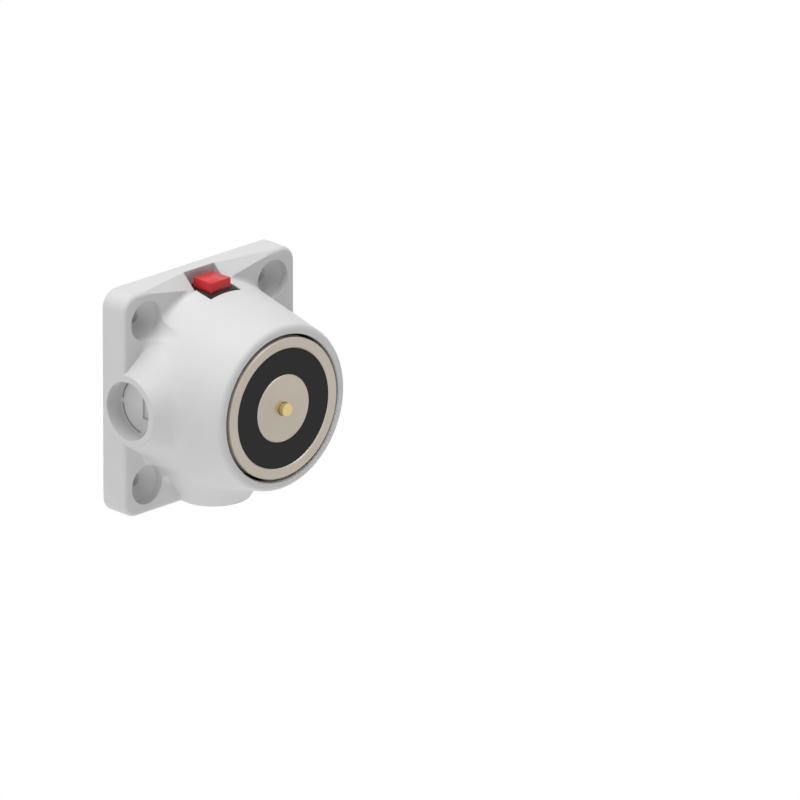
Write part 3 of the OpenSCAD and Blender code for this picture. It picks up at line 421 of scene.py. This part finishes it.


# Springs: wound from drawn wire, one behind the ejector pin and one under the button's stem.
drawn = Finish("spring_wire", (170, 172, 175), 0.3, metallic=1.0)
scratches = drawn.noise(2000, 2.0)
drawn.set("Roughness", scratches.ramp(0.3, 0.7, 0.22, 0.36))
drawn.tint(scratches.ramp(0.3, 0.7), (160, 162, 165), (180, 182, 185))
for node, joint, axis, fixed_end, travel in (
        ("ejector_spring", "ejector_slide", Vector((0, 1, 0)), 1, 0.002),
        ("switch_spring", "button_slide", Vector((0, 0, 1)), 0, 0.0015)):
    spring = copied(node, crease=80)
    drawn.put_on(spring)
    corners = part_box(node)
    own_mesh(spring)


# Contacts: brass tabs of the switch, and brass spacers that hold the board off the wall plate. The
# metal is plain and has tarnished a little.
contact = Finish("contact_brass", (206, 184, 120), 0.34, metallic=1.0)
tarnish = contact.noise(500, 3.0)
contact.tint(tarnish.ramp(0.3, 0.7), (190, 166, 104), (214, 194, 132))
contact.set("Roughness", tarnish.ramp(0.3, 0.7, 0.28, 0.42))
contact.put_on(frame["nodes"]["switch_terminals"])
contact.put_on(frame["nodes"]["board_spacers"])


# Circuit board: glass fibre under green lacquer, whose weave shows faintly. A moulded terminal block
# and a diode with a pale band and tinned wires stand on it.
board = Finish("green_board", (38, 92, 56), 0.35, coat=0.4)
weave = board.node("TexBrick", {}, {"Vector": board.place, "Scale": 900.0}, "Fac")
board.tint(board.noise(200).ramp(0.3, 0.7), (34, 84, 52), (44, 100, 62))
board.relief(weave, 0.00001)
board.put_on(frame["nodes"]["circuit_board"])

block = Finish("green_nylon", (52, 108, 76), 0.42)
block_grain = block.noise(1500, 2.0)
block.tint(block.noise(90).ramp(0.3, 0.7), (48, 102, 72), (58, 116, 82))
block.relief(block_grain, 0.00001, edge=0.0002)
block.put_on(frame["nodes"]["terminal_block"])

glassy = Finish("diode_epoxy", (36, 36, 37), 0.3)
across = glassy.axes()[0]
ring = (across > 0.01) * (1 - (across > 0.0108))
glassy.tint(ring, (36, 36, 37), (196, 197, 198))
glassy.put_on(frame["nodes"]["diode"])

tinned = Finish("tinned_copper", (200, 201, 202), 0.32, metallic=1.0)
dull = tinned.noise(1400, 2.0)
tinned.set("Roughness", dull.ramp(0.3, 0.7, 0.26, 0.42))
tinned.tint(dull.ramp(0.3, 0.7), (188, 189, 190), (208, 209, 210))
tinned.put_on(frame["nodes"]["diode_wires"])


# Leads: thin copper wires in PVC insulation, laid inside the housing from the coil and the switch
# to the board. The coil's are red and the switch's blue.
for node, slot, dark, light in (
        ("coil_leads", "lead_red", (168, 28, 26), (190, 38, 34)),
        ("switch_leads", "lead_blue", (34, 48, 138), (44, 60, 158))):
    pvc = Finish(slot, dark, 0.4)
    skin = pvc.noise(800, 2.0)
    pvc.tint(skin.ramp(0.3, 0.7), dark, light)
    pvc.relief(skin, 0.00001)
    pvc.put_on(copied(node, crease=60))


# Studio: the unit hangs free above a white floor in a faint white surround. A broad soft light
# falls on it from above and a weaker one from the left.
lamp_spread, lamp_distance = 0.9, 1.2
for name, towards, power in (
        ("overhead", Vector((0, 0, 1)), 2.72),
        ("side", Vector((-0.87, -0.1, 0.5)).normalized(), 0.78)):
    light = bpy.data.lights.new(name, "SUN")
    light.angle = lamp_spread
    light.energy = power
    stand = bpy.data.objects.new(name, light)
    bpy.context.scene.collection.objects.link(stand)
    stand.location = towards * lamp_distance
    stand.rotation_mode = "QUATERNION"
    stand.rotation_quaternion = towards.to_track_quat("Z", "Y")

floor_gap, floor_reach = 0.16, 30
sheet = bmesh.new()
bmesh.ops.create_grid(sheet, x_segments=1, y_segments=1, size=floor_reach,
                      matrix=Matrix.Translation((0, 0, cad_box[0].z - floor_gap)))
floor_mesh = bpy.data.meshes.new("floor")
sheet.to_mesh(floor_mesh)
sheet.free()
floor = bpy.data.objects.new("floor", floor_mesh)
bpy.context.scene.collection.objects.link(floor)
paper = Finish("white_paper", (240, 240, 240), 0.9)
ray = paper.node("LightPath", {}, {})
camera_ray = Signal(paper, ray.socket.node.outputs["Is Camera Ray"])
glossy_ray = Signal(paper, ray.socket.node.outputs["Is Glossy Ray"])
seen_white = paper.node("Emission", {}, {"Color": (1, 1, 1, 1), "Strength": 1.0})
paper_look = Signal(paper, paper.shader.outputs[0])
# The floor is seen nearly white. The rest is the paper's own look, with the shadow of the unit
white_share = camera_ray * 0.93 + glossy_ray * 0.93
shown = paper.node("MixShader", {}, {0: white_share, 1: paper_look, 2: seen_white})
paper.links.new(shown.socket, paper.nodes["Material Output"].inputs["Surface"])
floor.data.materials.append(paper.material)

world = bpy.data.worlds.new("surround")
world.use_nodes = True
bpy.context.scene.world = world
tree = world.node_tree
surround = tree.nodes["Background"]
path = tree.nodes.new("ShaderNodeLightPath")
either = tree.nodes.new("ShaderNodeMath")
either.operation = "MAXIMUM"
tree.links.new(path.outputs["Is Camera Ray"], either.inputs[0])
tree.links.new(path.outputs["Is Glossy Ray"], either.inputs[1])
level = tree.nodes.new("ShaderNodeMapRange")
tree.links.new(either.outputs[0], level.inputs["Value"])
level.inputs["To Min"].default_value = 0.13
level.inputs["To Max"].default_value = 1.0
surround.inputs["Color"].default_value = (1, 1, 1, 1)
tree.links.new(level.outputs[0], surround.inputs["Strength"])


# Camera: a very long lens, so that parallel edges stay parallel as in a product picture. It looks
# at the unit from the left, the front and a little above.
camera_data = bpy.data.cameras.new("camera")
camera_data.lens = 1200
camera_data.sensor_width = 36
camera_data.clip_start, camera_data.clip_end = 0.1, 200
camera = bpy.data.objects.new("camera", camera_data)
bpy.context.scene.collection.objects.link(camera)
bpy.context.scene.camera = camera
back = Vector((-0.6503, -0.6758, 0.3469)).normalized()
aim = Vector((0.04963, -0.05196, -0.00819))
view_width = 0.2719
camera.location = aim + back * (view_width * camera_data.lens / camera_data.sensor_width)
camera.rotation_mode = "QUATERNION"
camera.rotation_quaternion = back.to_track_quat("Z", "Y")

bpy.context.scene.view_settings.view_transform = "Standard"
